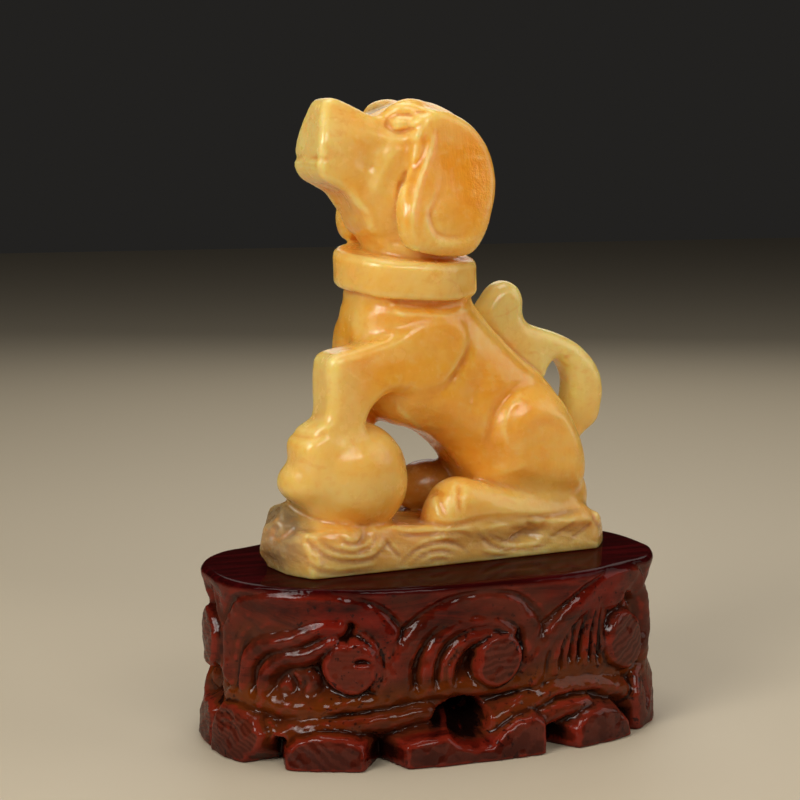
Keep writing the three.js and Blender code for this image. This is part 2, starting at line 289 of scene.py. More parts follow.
def outline_distance(points, x, z):
    """Signed distance to a closed outline in the side plane."""
    d = np.full(np.broadcast(x, z).shape, 1e9, np.float32)
    inside = np.zeros(d.shape, bool)
    for (ax, az), (bx, bz) in zip(points, np.roll(points, -1, 0)):
        ex, ez = bx - ax, bz - az
        wx, wz = x - ax, z - az
        t = np.clip((wx * ex + wz * ez) / (ex * ex + ez * ez + 1e-9), 0, 1)
        d = np.minimum(d, (wx - t * ex) ** 2 + (wz - t * ez) ** 2)
        crosses = (az <= z) != (bz <= z)
        inside ^= crosses & (x < ax + (z - az) * ex / (ez if abs(ez) > 1e-9 else 1e-9))
    return np.where(inside, -1, 1) * np.sqrt(d)


def ball(centre, radii, pitch=0.0, yaw=0.0):
    """An ellipsoid, turned about Y by pitch (degrees, nose down is positive) and about Z by yaw."""
    cx, cy, cz = centre
    rx, ry, rz = radii
    cp, sp = math.cos(math.radians(pitch)), math.sin(math.radians(pitch))
    cw, sw = math.cos(math.radians(yaw)), math.sin(math.radians(yaw))

    def distance(x, y, z):
        x, y, z = x - cx, y - cy, z - cz
        x, y = x * cw + y * sw, -x * sw + y * cw
        x, z = x * cp - z * sp, x * sp + z * cp
        k0 = np.sqrt((x / rx) ** 2 + (y / ry) ** 2 + (z / rz) ** 2)
        k1 = np.sqrt((x / rx**2) ** 2 + (y / ry**2) ** 2 + (z / rz**2) ** 2)
        return k0 * (k0 - 1) / (k1 + 1e-6)

    r = max(radii)
    return distance, [c - r for c in centre], [c + r for c in centre]


def bone(a, b, ra, rb, flat=1.0):
    """A round-ended taper from a to b, its section flat times as wide in Y as it is high."""
    ax, ay, az = a
    vx, vy, vz = b[0] - ax, (b[1] - ay) / flat, b[2] - az
    vv = vx * vx + vy * vy + vz * vz

    def distance(x, y, z):
        px, py, pz = x - ax, (y - ay) / flat, z - az
        t = np.clip((px * vx + py * vy + pz * vz) / vv, 0, 1)
        r = ra + (rb - ra) * t
        return np.sqrt((px - t * vx) ** 2 + (py - t * vy) ** 2 + (pz - t * vz) ** 2) - r

    r = max(ra, rb) * max(1, flat)
    return distance, [min(p, q) - r for p, q in zip(a, b)], [max(p, q) + r for p, q in zip(a, b)]


def plane_cut(centre, direction, far):
    """Everything beyond a plane at a distance from the centre."""
    n = np.array(direction) / np.linalg.norm(direction)

    def distance(x, y, z):
        return far - (x - centre[0]) * n[0] - (y - centre[1]) * n[1] - (z - centre[2]) * n[2]

    return distance, [c - 30 for c in centre], [c + 30 for c in centre]


def ripple(x, y, z, size, seed):
    """Smooth, repeatable unevenness between about -1 and 1."""
    total = 0.0
    for i in range(5):
        a, b = 2.4 * i + seed, 1.7 * i + 0.6 * seed
        k = 2 * math.pi / (size * (0.8 + 0.13 * i))
        total = total + np.sin(
            k * (x * math.cos(a) * math.cos(b) + y * math.sin(a) * math.cos(b) + z * math.sin(b))
            + 3.1 * i
        )
    return (total / 2.6).astype(np.float32)


def plate(outline, middle, half, ease, corners=False):
    """A side outline of [x, z] points given a half thickness in Y, and eased over its edges.

    middle and half may vary: each is a number or a function of x and z.
    """
    points = np.reshape(outline, (-1, 2)) if corners else curve_through(outline, closed=True)
    low, high = points.min(0), points.max(0)

    def distance(x, y, z):
        x2, z2 = x[:, 0, :], z[:, 0, :]
        side = outline_distance(points, x2, z2)[:, None, :]
        mid = middle(x, z) if callable(middle) else middle
        h = half(x, z) if callable(half) else half
        scale = np.maximum(1, ease / h)
        q1 = side + ease
        q2 = np.abs(y - mid) * scale - h * scale + ease
        out = np.sqrt(np.maximum(q1, 0) ** 2 + np.maximum(q2, 0) ** 2)
        return (out + np.minimum(np.maximum(q1, q2), 0) - ease) / np.sqrt(scale)

    return distance, [low[0], -34, low[1]], [high[0], 34, high[1]]


def slope(a, b, low, high):
    """A value going smoothly from a to b as z goes from low to high."""

    def value(x, z):
        t = np.clip((z - low) / (high - low), 0, 1)
        return a + (b - a) * t * t * (3 - 2 * t)

    return value


# ---------- The dog: its base at zero, its nose towards -X, its left side towards -Y ----------
def sculpt_dog():
    s = Solid((-69, -32, -1.5), (79, 36, 160), STONE_STEP)

    # Trunk: chest, belly and rump in one carved mass.
    trunk = [
        -25, 95, -29.5, 88, -31, 81, -31.5, 74, -29, 65, -25, 55, -19, 48, -11, 45.5, -3, 42.5, 4, 37.5,
        9, 31.5, 12.5, 25, 14, 19, 15, 9, 55, 8, 56.5, 20, 56.5, 32, 53.5, 43, 48, 53, 41, 61.5, 32, 68.5,
        23, 77, 14, 87, 8, 96,
    ]
    s.add(plate(trunk, 0, slope(20, 18, 40, 92), 15), 1)
    s.add(bone((-8, 0, 86), (-7, 0, 114), 17.5, 16), 3)

    # Far foreleg, then the near one, bent over the ball.
    far_leg = [
        -26, 82, -30, 70, -32, 56, -33, 42, -36, 24, -38, 14, -20, 12, -19.5, 34, -18, 44, -14, 56,
        -8, 74,
    ]
    s.add(plate(far_leg, 10, 8.5, 6), 3)
    s.add(ball((-34, -5, 29), (21, 19.5, 20)), 1.2)
    near_leg = [
        -45, 72.5, -38, 74.5, -29, 76.5, -20, 79.5, -12, 82.6, -4, 84, 2.5, 82, 5.5, 76.5, 4, 71, 0.5, 65,
        -5, 60.5, -12, 59, -20, 59.5, -26, 58.5, -30.5, 55, -33, 50, -34, 44, -37, 40, -44, 36, -52, 36,
        -55, 40, -54.5, 44.5, -51, 49, -47.5, 53, -47, 60, -47, 68,
    ]
    s.add(plate(near_leg, slope(-12.5, -12, 40, 70), slope(8, 8.3, 40, 75), 3.6), 2.8)
    s.add(ball((-49.5, -10.5, 42.5), (7.2, 8.5, 6.5), 15), 3.5)
    s.add(ball((-51.5, -9.5, 30), (9.2, 10, 7.2), 8), 3.5)
    s.add(ball((-43, -13.4, 34), (12, 9, 9.5), 20), 8)
    s.add(ball((-34, -12, 38), (12, 11, 9), 0), 7)

    # Haunches and hind feet.
    haunch = [
        16, 33, 13.5, 41, 14.5, 48.5, 19, 54.5, 26, 58.5, 34, 58.5, 42, 55, 48.5, 47, 53, 37, 54, 26,
        50, 20, 38, 20, 24, 23.5, 17, 28,
    ]
    for side in (-1, 1):
        s.add(plate(haunch, 12.5 * side, 11.6, 11), 2.0)
    hind_foot = [
        -9.5, 13, -8.5, 19, -6, 23.5, -2, 27, 4, 28.5, 11, 27, 20, 24, 31, 20.5, 42, 17.5, 54, 15, 54, 6,
        -6, 6,
    ]
    s.add(plate(hind_foot, -15, 8.8, 8), 3.5)
    s.add(ball((5, 12, 21), (11.5, 9, 9.5), -8), 1.4)
    s.add(ball((11, 12, 22), (9, 8.5, 7.5), 0), 3)
    s.add(plate([10, 8, 10, 24, 24, 25, 42, 21, 54, 18, 54, 6], 14.5, 8.5, 5), 2)
    s.add(bone((38, 0, 20), (50, 0, 17), 18, 13, 1.1), 4)

    # Tail: a broad curl up from the rump, its tip flicked up against the back.
    tail = [
        56, 30, 62.5, 37, 68.5, 42, 70.6, 48, 71, 54, 69, 61, 64.5, 67, 59, 71.3, 52, 74.5, 45.5, 76.5,
        40, 78.5, 37.5, 82, 37.5, 87, 35.5, 91.5, 31, 93.5, 26, 91.5, 22, 87, 20, 82, 24, 75, 32, 66,
        40, 60, 45.5, 58.5, 48, 62.5, 51.5, 65, 55.5, 61.5, 57.5, 55, 56.5, 47, 53, 38,
    ]
    s.add(plate(tail, slope(3, 2, 40, 60), slope(7.5, 6.2, 40, 85), 5), 1.2)

    # Collar: a thick ring, a little higher on the far side.
    ring_r, ring_half, lean, edge = 24.8, 6.4, 0.12, 2.6

    def collar(x, y, z):
        x, y0, y = x - NECK[0], y, y / NECK[1]
        h = z - 98.2 - lean * y0 + 0.04 * x
        facets = 0.35 * np.cos(7 * np.arctan2(y, x) + 1)
        q1 = np.sqrt(x**2 + y**2) - ring_r + facets + edge
        q2 = np.abs(h) - ring_half + edge
        out = np.sqrt(np.maximum(q1, 0) ** 2 + np.maximum(q2, 0) ** 2)
        return out + np.minimum(np.maximum(q1, q2), 0) - edge

    s.add((collar, (-36, -26, 86), (18, 26, 111)), 1.2)

    # Head.
    skull = [
        -20, 149, -15, 153.5, -8, 155.5, 0, 154.5, 8, 150.5, 14.5, 144.5, 19, 137, 20, 126, 16, 114,
        8, 106, -6, 104, -20, 106, -26, 113, -28, 122, -25, 132, -22, 141,
    ]
    s.add(plate(skull, 0, slope(14.5, 16, 118, 140), 12.5), 2)
    muzzle = [
        -42.5, 153.5, -40, 156, -36, 155.6, -30, 153, -24, 150.6, -14, 151, -6, 146, -6, 122, -24, 112,
        -30, 119, -34.5, 125, -39, 127.6, -43.5, 129.5, -46, 133, -46, 138, -44.6, 146,
    ]
    s.add(plate(muzzle, -0.5, slope(10.3, 5.5, 141, 158), 2.2), 5)
    for side in (-1, 1):
        s.add(ball((-12, 8.5 * side, 149.5), (9, 5.5, 6.6), -6, 8 * side), 2)
        s.add(ball((-16.6, 11.6 * side, 148.1), (3.8, 2.8, 2.7), -25), 0.8)
        ear = [
            (-15, 148), (-15, 142), (-16, 136), (-18, 131.5), (-20, 127), (-21.5, 121.5),
            (-22, 115.5), (-21, 110.5), (-18, 107.5), (-13, 105.5), (-6, 104.3), (2, 104.3),
            (6, 106), (9.5, 110.5), (12.4, 118), (14.6, 126), (15, 133), (12.6, 141), (6.5, 148),
            (-2, 152), (-10, 152),
        ]
        if side > 0:  # the far ear hangs a little further forward
            ear = [(x - 2.4 * (z < 134) * (x < -10), max(z, 108.5)) for x, z in ear]
        s.add(plate(ear, slope(20.2 * side, 15.5 * side, 112, 146), 4.2, 3.6), 2.6)

    # Plinth of rocks and waves under it all.
    plinth = [
        -59, -3, -60, 6, -60, 12, -56, 15, -44, 15.5, -26, 15, -14, 14, 4, 13.5, 30, 13.5, 49, 13.5,
        58, 12.5, 62.5, 10.5, 65.5, 6.5, 68, 1, 68.5, -3,
    ]
    s.add(plate(plinth, 1.5, slope(24, 22.5, 2, 14), 2.2, corners=True), 1.6)
    s.add(ball((-38, -2, 9), (18, 22.5, 9.5), 0), 3)
    s.add(ball((-40, -6, 13), (13, 17, 7), 0), 3)
    # Its front corners and one rear corner are cut off (0 * z gives the result its full shape).
    for plane in (
        lambda x, y, z: (x + 61.6) * 0.926 + (y + 5.3) * 0.377 + 0.06 * z,
        lambda x, y, z: (x + 60.5) * 0.883 - (y - 2) * 0.469 + 0 * z,
    ):
        s.cut((plane, (-72, -34, -4), (-44, 34, 20)), 1.5)
    corner = (lambda x, y, z: (68 - x) * 0.78 + (y + 8) * 0.62 + 0 * z, (54, -34, -4), (80, -4, 20))
    s.cut(corner, 2)
    # A clear lump of rock at the front left corner, faceted.
    rock = Solid((-70, -22, -1.5), (-38, 18, 27), STONE_STEP)
    # Its grid is set on the nearest points of the dog's grid.
    rock.low = s.low + np.round((rock.low - s.low) / s.step) * s.step
    rock.add(ball(ROCK, (11.5, 13, 13.5)), 1)
    for nx, ny, nz, far in ROCK_FACETS:
        rock.cut(plane_cut(ROCK, (nx, ny, nz), far), 0.8)
    s.merge(rock, 1.2)
    detail_dog(s)

    # Everything stands on a ground flat base.
    x, y, z = s.block((-PAST,) * 3, (2 * PAST,) * 3)[1]
    s.d += 0.13 * ripple(x, y, z, 13, 1) + 0.04 * ripple(x, y, z, 5, 2)
    s.d = np.maximum(s.d, -z)
    return s


def detail_dog(s):
    """Lines and hollows cut by hand."""
    for side in (-1, 1):
        for row in FLANK_LINES:
            path, width, depth, inner, taper, lip = (*row, *LINE_ENDS[len(row) - 4:])
            s.engrave(path, width, depth, side, inner, taper)
            if lip:
                above = np.reshape(path, (-1, 2)) + [0, LIP_OFFSET * width]
                s.engrave(above, width, -lip, side, inner, taper)
    for path, width, depth, inner in NEAR_LINES:
        s.engrave(path, width, depth, -1, inner, 0.2)
    # Nose, nostrils and lip across the front of the muzzle.
    s.cut(bone((-48.2, -9, 136.8), (-47.2, 7, 137.6), 1.7, 1.6), 1.2)
    for y in (-3.4, 3.4):
        s.cut(bone((-45.6, y, 151), (-47.0, y, 143.5), 0.9, 0.8), 1)
    s.cut(bone((-46.9, 0, 143), (-47.8, 0, 138), 0.7, 0.7), 0.8)


def mesh_object(name, points, quads, values):
    """A smooth-shaded mesh from points in metres, with float attributes for its material."""
    mesh = bpy.data.meshes.new(name)
    mesh.vertices.add(len(points))
    mesh.vertices.foreach_set("co", points.astype(np.float32).ravel())
    mesh.loops.add(quads.size)
    mesh.loops.foreach_set("vertex_index", quads.astype(np.int32).ravel())
    mesh.polygons.add(len(quads))
    mesh.polygons.foreach_set("loop_start", np.arange(0, quads.size, 4, dtype=np.int32))
    mesh.update(calc_edges=True)
    mesh.validate()
    mesh.polygons.foreach_set("use_smooth", np.ones(len(mesh.polygons), bool))
    for key, value in values.items():
        attribute = mesh.attributes.new(key, "FLOAT", "POINT")
        attribute.data.foreach_set("value", np.asarray(value, np.float32))
    piece = bpy.data.objects.new(name, mesh)
    bpy.context.scene.collection.objects.link(piece)
    return piece


def outward(quads, points, solid):
    """Turns the faces to point out of the solid if they don't."""
    a, b, c = (points[quads[:, i]] for i in (0, 1, 2))
    normal = np.cross(b - a, c - a)
    normal /= np.linalg.norm(normal, axis=1, keepdims=True) + 1e-9
    middle = points[quads].mean(1)
    out = solid.sample(solid.d, middle + 0.4 * normal) - solid.sample(solid.d, middle - 0.4 * normal)
    return quads if np.median(out) > 0 else quads[:, ::-1].copy()


def build_dog():
    solid = sculpt_dog()
    points, quads = solid.skin()
    quads = outward(quads, points, solid)
    bend = solid.sample(solid.bend(), points)
    x, y, z = points.T

    def blob(cx, cy, cz, rx, ry, rz, soft=0.35):
        """1 inside an ellipsoid, fading to 0 around its edge."""
        r = (((x - cx) / rx) ** 2 + ((y - cy) / ry) ** 2 + ((z - cz) / rz) ** 2) ** 0.5
        return np.clip((1 + soft - r) / (2 * soft), 0, 1)

    tints = {
        "bend": bend,
        # Tail, muzzle front, forelegs and the plinth are paler; body and ear are warmer, and the same
        # warmer orange is painted shade in the creases under the collar and head and beside the near leg
        # and the ball.
        "pale": np.maximum.reduce([
            blob(54, 3, 66, 21, 14, 28) * (x > 20), blob(30, 3, 88, 14, 14, 16) * (z > 72),
            0.75 * blob(-44, 0, 143, 10, 14, 16),
            0.6 * blob(-45, -14, 54, 13, 14, 26), 0.1 * blob(-2, 0, 4, 80, 40, 11),
            0.55 * blob(-50, -14, 32, 14, 14, 14), 0.3 * blob(-20, -4, 98, 22, 30, 9),
            0.35 * blob(24, -18, 20, 30, 10, 8), 0.35 * blob(-22, -8, 126, 10, 14, 18),
        ]),
        "warm_and_crease_shade": np.maximum.reduce([
            blob(-6, 0, 86, 20, 24, 10), 0.9 * blob(16, 0, 48, 36, 26, 24),
            0.85 * blob(2, -16, 128, 14, 12, 20), 0.8 * blob(-32, -18, 18, 22, 12, 7),
            0.7 * blob(-38, -18, 66, 6, 12, 14), 0.6 * blob(0, -10, 104, 16, 20, 6),
        ]),
        # The clear rock's own smoky tone, and painted shade on the far brow over the recess between the
        # brows.
        "clear_and_brow_shade": np.maximum(
            blob(-59, -4, 13, 9, 14, 13), 0.7 * blob(-24, 0, 154, 12, 8, 5) * (y > 0)
        ),
        "brown": 0.95 * blob(6, 12, 22, 13, 11, 12, 0.3),
        # Left rougher by the file: the ears' edges, the belly, the feet and the plinth.
        "rough": np.maximum.reduce([
            blob(10, -20, 124, 7, 9, 22), blob(-4, -20, 107, 18, 9, 5),
            blob(-14, -12, 50, 12, 14, 9), 0.8 * blob(-3, -16, 21, 9, 12, 9),
            0.5 * np.clip((15 - z) / 5, 0, 1), 0.7 * blob(-8, 0, 106, 22, 26, 4),
        ]),
        # The plinth's stone is duller; its hollows are duller still, as painted shade.
        "base": np.clip((17 - z + 0.08 * np.abs(x)) / 7, 0, 1) * np.where(z < 15, 1, 0.6)
        * np.clip(0.55 + 0.8 * np.clip(bend, 0, 1), 0, 1),
    }
    c, s = math.cos(DOG_TURN), math.sin(DOG_TURN)
    world = np.empty_like(points)
    world[:, 0] = points[:, 0] * c - points[:, 1] * s
    world[:, 1] = points[:, 0] * s + points[:, 1] * c + DOG_SHIFT
    world[:, 2] = points[:, 2] + DOG_FLOOR
    piece = mesh_object("jade_dog", world / 1000, quads, tints)
    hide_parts("jade_dog_carving")
    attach(piece, "figurine")
    return piece


# ---------- The stand ----------
# Its relief is painted over the run along the rim (0 at the middle of the front) and the height.
def rim_table():
    """Points along the rim and the run to each, from the middle of the front towards +X."""
    a = np.linspace(-np.pi, np.pi, 4001)
    e = 2 / RIM_POWER
    x = np.sign(np.sin(a)) * np.abs(np.sin(a)) ** e * RIM_HALF[0]
    y = -np.sign(np.cos(a)) * np.abs(np.cos(a)) ** e * RIM_HALF[1]
    run = np.concatenate([[0], np.cumsum(np.hypot(np.diff(x), np.diff(y)))])
    return x, y, run - run[len(run) // 2], run[-1]


RIM_X, RIM_Y, RIM_RUN, RIM_LENGTH = rim_table()
HALF_TURN = RIM_LENGTH / 2  # the back repeats the front


class Relief:
    """How deep the carving lies under the stand's outer wall."""

    margin = 15  # a path this far past the ends of the run is left out

    def __init__(self, profile):
        self.run = RELIEF_START + np.arange(0, HALF_TURN, RELIEF_STEP)
        self.height = np.arange(-2, SEAT + 2, RELIEF_STEP)
        shape = (len(self.run), len(self.height))
        heights, depths = zip(*profile)
        self.depth = np.broadcast_to(np.interp(self.height, heights, depths), shape).copy()
        self.sawn = np.zeros(shape)
        self.root = np.zeros(shape)
        self.pit = np.zeros(shape)

    def near(self, path):
        """Distance to a path of [run, height] points, and how far along it is the nearest one."""
        line = curve_through(path, per=4)
        low, high = self.run[0] - self.margin, self.run[-1] + self.margin
        best, along = np.full(self.depth.shape, 1e9), np.zeros(self.depth.shape)
        for turn in (-HALF_TURN, 0, HALF_TURN):
            if line[:, 0].max() + turn >= low and line[:, 0].min() + turn <= high:
                dd, t = nearest(line + [turn, 0], self.run[:, None], self.height[None, :])
                along = np.where(dd < best, t, along)
                best = np.minimum(best, dd)
        return np.sqrt(best), along

    def ridge(self, path, level, half, crown=1.0, k=0.8, wall=1.6, root=0.0, end=None):
        """A rounded band standing proud; level and half run to end = (level, half)."""
        dist, along = self.near(path)
        if end:
            level = level + (end[0] - level) * along
            half = half + (end[1] - half) * along
        over = np.maximum(dist - half, 0)
        rise = level + crown * np.minimum(dist / half, 1) ** 2 + wall * over
        self.depth = smooth_min(self.depth, rise, k)
        if root:
            soft = np.clip(1.3 - dist / (half * 1.5), 0, 1)
            self.root = np.maximum(self.root, root * soft)

    def groove(self, path, half, sink, taper=0.2):
        dist, along = self.near(path)
        fade = np.clip(np.minimum(along, 1 - along) / taper, 0.1, 1) if taper else 1.0
        self.depth += sink * fade * np.exp(-((dist / half) ** 2))

    def arch(self, path, level, half, crown=1.4, sink=1.4, **more):
        """A band with a crease along its outer (left-hand) side."""
        self.ridge(path, level, half, crown, **more)
        line = curve_through(path, per=4)
        way = np.gradient(line, axis=0)
        way /= np.linalg.norm(way, axis=1, keepdims=True)
        self.groove((line + (half + 0.8) * way[:, ::-1] * [-1, 1])[::3], 1.15, sink, 0.2)

    def patch(self, outline, level, top=0.0, edge=1.4, wall=2.2, k=0.6, sawn=1.0, pit=0.0):
        """A flat face inside an outline, its upper part leaning back by top; pit > 0 sinks it."""
        outline = np.array(outline, float).reshape(-1, 2)
        r, z = self.run[:, None], self.height[None, :]
        for turn in (-HALF_TURN, 0, HALF_TURN):
            inside = outline_distance(outline + [turn, 0], r, z)
            low, high = outline[:, 1].min(), outline[:, 1].max()
            lean = top * np.clip((z - low) / (high - low), 0, 1) ** 2
            over = np.maximum(inside + edge, 0)
            soft = np.where(inside < 0, over**2 / (2 * edge), edge / 2 + inside * wall)
            if pit:
                self.depth = -smooth_min(-self.depth, -(pit - soft * 11), k)
                self.pit = np.maximum(self.pit, np.clip(1 - inside / 1.5, 0, 1))
            else:
                self.depth = smooth_min(self.depth, level + lean + soft, k)
                self.sawn = np.maximum(self.sawn, sawn * np.clip(-inside / 0.8, 0, 1))

    def read(self, values, run, height):
        """Values at runs and heights (arrays of the same shape)."""
        period = len(self.run)
        a = ((run - RELIEF_START) % HALF_TURN) / HALF_TURN * period
        b = np.clip((height - self.height[0]) / RELIEF_STEP, 0, len(self.height) - 1.001)
        i, j = np.floor(a).astype(int), np.floor(b).astype(int)
        fa, fb = a - i, b - j
        i, n = i % period, (i + 1) % period
        return (
            values[i, j] * (1 - fa) * (1 - fb) + values[n, j] * fa * (1 - fb)
            + values[i, j + 1] * (1 - fa) * fb + values[n, j + 1] * fa * fb
        )


def disc(run, height, across, up, lean=0.0, flats=()):
    """The outline of a slightly uneven round face; flats clip it at angles (degrees, reach)."""
    out = []
    for i in range(28):
        a = 2 * math.pi * i / 28
        reach = 1 + 0.03 * math.sin(3 * a + run)
        for angle, limit in flats:
            c = math.cos(a - math.radians(angle))
            if c > 0:
                reach = min(reach, limit / c)
        x, z = across * reach * math.cos(a), up * reach * math.sin(a)
        out.append((run + x + lean * z, height + z))
    return out


def carve_relief():
    r = Relief(
        [(-2, 12), (4, 12), (10, 11), (18, 11), (24, 10.2), (28, 8.8), (34, 7.2), (38, 5.8), (42, 4.3),
         (46, 3.0), (50, 1.9), (53, 1.1), (55.5, 0.4), (57, 0.1), (62, 0)]
    )
    # First scroll, round the left end: a fan under the rim, then the sawn knob.
    r.groove([-128, 48, -120, 47.5, -112, 48, -106, 50], 4.0, 2.2, 0)
    r.ridge([-118, 60, -114, 53, -111, 46], -0.3, 6, 1.6, 1.5, 1.2, end=(2.2, 2.6))
    r.ridge([-106, 58, -103, 47, -99, 36, -97, 27], 1.0, 2.2, 0.8, 1.2, end=(4.5, 1.6))
    r.ridge([-108, 27, -104, 20, -100, 14], 5.0, 3.4, 1, 1.5, root=0.7)
    r.ridge([-119, 28, -118, 20, -114, 13], 7.4, 3.6, 1, 1.5, root=0.4)
    r.ridge([-103, 43, -101.5, 35, -103, 28], 3.2, 2.2, 0.8, 1)
    r.patch(disc(-111, 36, 8.6, 10.2), 0.2, 0, 1.0, 3.2, sawn=1)
    # Second scroll.
    r.arch([-94.5, 27, -95, 38, -89, 47.5, -76, 52, -58, 52.8, -43, 50.8, -33.5, 44.5, -29.5, 36,
        -30.5, 27], 1.3, 3.9, 1.6)
    r.ridge([-91, 29, -89.5, 38, -83, 44.6, -73, 46.6, -62, 46.8], 2.8, 1.8, 1.2, 1.3, 1.5)
    r.ridge([-86.5, 24, -84.5, 33, -77, 38.8, -67, 41.2, -57, 45, -49, 46.6], 2.2, 2.6, 1.6, 1.3, 1.7,
        end=(0.7, 2.7))
    r.ridge([-77.5, 20, -77, 28, -70, 34.4, -60, 36.8, -51.5, 41.4], 2.8, 2.4, 1.3, 1.3, 1.7,
        end=(1.4, 2.2))
    r.ridge([-41.5, 47.5, -34.8, 42, -31.8, 33.5, -34.5, 25], 2.2, 2.0, 1.2, 1.3, 1.5)
    r.ridge([-41, 44, -37, 38.8, -35.6, 32, -37.5, 26], 2.0, 0.9, 0.6, 0.3, 2.2)
    r.patch([-71, 17, -71.5, 26, -66, 31, -60, 32, -56.5, 28, -57.5, 19], 5.0, 0, 3, 1.2, sawn=0.3)
    r.groove([-67, 30, -64.5, 25, -66, 19], 1.3, 2.4)
    r.groove([-61, 29, -62.5, 23, -60, 18.5], 1.1, 1.6)
    r.patch(disc(-45.2, 33.2, 8.8, 8.8), 0.6, 0, 1.6, 3.4, sawn=0.2)
    r.groove([-45.5, 34.6, -42, 35, -38, 34.6], 0.8, 2.8, 0.4)
    r.groove([-47.4, 40.5, -45.6, 44, -44.6, 48], 1.3, 3.4)
    # Third scroll.
    r.arch([-28.6, 25, -27.6, 35, -21.5, 44.5, -11, 50, 0, 51.4, 9.5, 50, 17, 44.5, 19.8, 37, 17.4, 29],
        1.7, 3.4, 1.5)
    r.ridge([-19, 24, -18.6, 34, -13, 41.8, -3.5, 45.6, 5.6, 44.4, 10.8, 41], 2.2, 2.1, 1.3, 1.3, 1.7)
    r.ridge([-12, 23, -11.4, 31.4, -6.6, 38, 0.6, 41, 5, 40.4], 2.6, 2.2, 1.3, 1.3, 1.7)
    r.groove([-12.6, 24, -12.2, 31, -7, 38.4], 0.6, 1.2)
    r.patch(disc(5.2, 32.2, 8.6, 8.4, 0.1, ((180, 0.82), (140, 0.9))), 0.5, 0.4, 0.8, 3.4)
    r.groove([-3.4, 25, -3.6, 31, -1, 36.6], 0.9, 2.6)
    # Fourth scroll, with ribs under a heavy lip.
    r.arch([19.8, 24, 22.4, 33, 28, 40.6, 36.4, 47, 46, 52.4, 56.5, 54.8, 67, 52.4, 73.5, 45, 75, 36,
        73.5, 27], 2.4, 3.0, 1.4, end=(-0.3, 4.6))
    r.ridge([27.4, 26, 28.6, 35, 34.4, 41.8, 42, 46.8, 48, 49], 2.2, 1.8, 1.0, 0.4, 2.8)
    for a, b, level in (
        (31.8, 35.6, 3.0), (35.8, 39.6, 3.6), (40.4, 43.6, 2.6), (45, 46.8, 3.0), (49, 49.8, 3.4)
    ):
        r.ridge([(a, 27), ((a + b) / 2 - 0.4, 36), (b, 45)], level, 1.15, 0.7, 0.3, 3.2)
    r.ridge([52, 47.2, 57, 47.6], 1.4, 3.4, 1.4, 0.8, 2.2)
    r.groove([58, 44, 63, 46.5, 67, 43], 1.4, 3)
    r.patch(disc(58.8, 32.4, 9.6, 10, -0.05, ((250, 0.92),)), 0.0, 0.3, 0.8, 3.4)
    r.ridge([80, 50, 83, 40, 85, 30, 87, 22], 3.0, 3.2, 1.3, 1.0, end=(4.5, 2.6))
    # Roots winding round the waist.
    r.ridge([-98, 19, -86, 20.5, -72, 19.5, -57, 19, -42, 20.6, -27, 22.3, -12, 23, 3, 23.2, 16, 23.8,
        28, 25.4, 44, 25, 60, 22.6, 76, 21, 88, 19], 3.6, 3.4, 1.8, 1.6, 1.2, root=1.0)
    r.ridge([-70, 9, -60, 12.5, -47, 14.2, -33, 15.8, -20, 17.2], 3.4, 3.0, 1.4, 1.0, 1.5, root=0.6)
    r.ridge([-93, 14, -82, 14.5, -74, 10], 3.6, 3.0, 1.2, 1.0, root=0.6)
    r.ridge([4, 12, 12, 15.4, 22, 18.4, 34, 20, 47, 18.6, 60, 15.4], 3.0, 3.0, 1.3, 1.0, 1.5, root=0.7)
    r.ridge([22, 11, 31, 13.4, 40, 14], 2.6, 2.2, 0.8, 0.8, root=0.2)
    r.groove([-30, 19, -12, 20.2, 4, 19, 18, 21], 1.2, 1.6)
    r.groove([24, 16, 36, 17, 50, 15.6], 1.0, 1.8)
    r.groove([-56, 16, -40, 17.6, -26, 19], 1.0, 1.4)
    # The hollow through the waist, and the gaps between the feet.
    r.patch(disc(-8, 12.4, 9.2, 6.8, 0.25), 0, 0, 1.2, 2, 0.8, pit=32)
    for left, right, top in ((-124, -120.5, 3.5), (-102.5, -100.8, 10), (-73, -66, 8.6), (-41, -28, 6.6),
                             (20.5, 33, 7.6), (58, 63, 8)):
        r.patch([(left, -6), (left + 0.8, top * 0.6), (left + (right - left) * 0.3, top),
                 (left + (right - left) * 0.75, top * 0.92), (right - 0.4, top * 0.5), (right, -6)],
                0, 0, 1.0, 2, 1, pit=30)
    # Feet with sawn faces.
    r.patch([-120.5, -4, -121, 10, -117, 14, -108, 14.5, -103, 12.5, -102.5, -4], -0.2, 1.2, 1.2)
    r.patch([-100.5, -4, -100.5, 12, -97, 16.6, -88, 17.2, -78, 15, -74.5, 10, -76, 5, -80, 2.6, -82, -4],
        -1.0, 2.6, 1.2)
    r.patch([-66, -4, -66, 5.8, -62.5, 9.6, -55, 11.6, -46, 10.6, -41.5, 8, -41, -4], -1.2, 1.2, 1.2)
    r.patch([-28, -4, -28, 7.4, -23, 9, -14, 9.4, -10.5, 6, -4, 4.4, 1, 4.8, 5, 9, 11, 12.4, 17, 13.4,
        20.5, 11, 20.5, -4], -1.0, 1.0, 1.2)
    r.patch([33, -4, 33, 6.4, 36.5, 11, 43, 12.6, 51, 11, 56.5, 5, 58, -4], -0.6, 0.8, 1.2)
    r.patch([63, -4, 63, 12, 66, 20, 73, 24, 80, 25, 86, 20, 87, -4], 0.6, 1.6, 1.6, sawn=0.6)
    r.groove([-97, 13, -91, 14.5, -86, 13], 0.7, 0.8)
    r.groove([-96, 10, -90, 11.6, -84, 10], 0.6, 0.7)
    r.groove([69, 19, 72, 12, 70, 5], 1.2, 1.2)
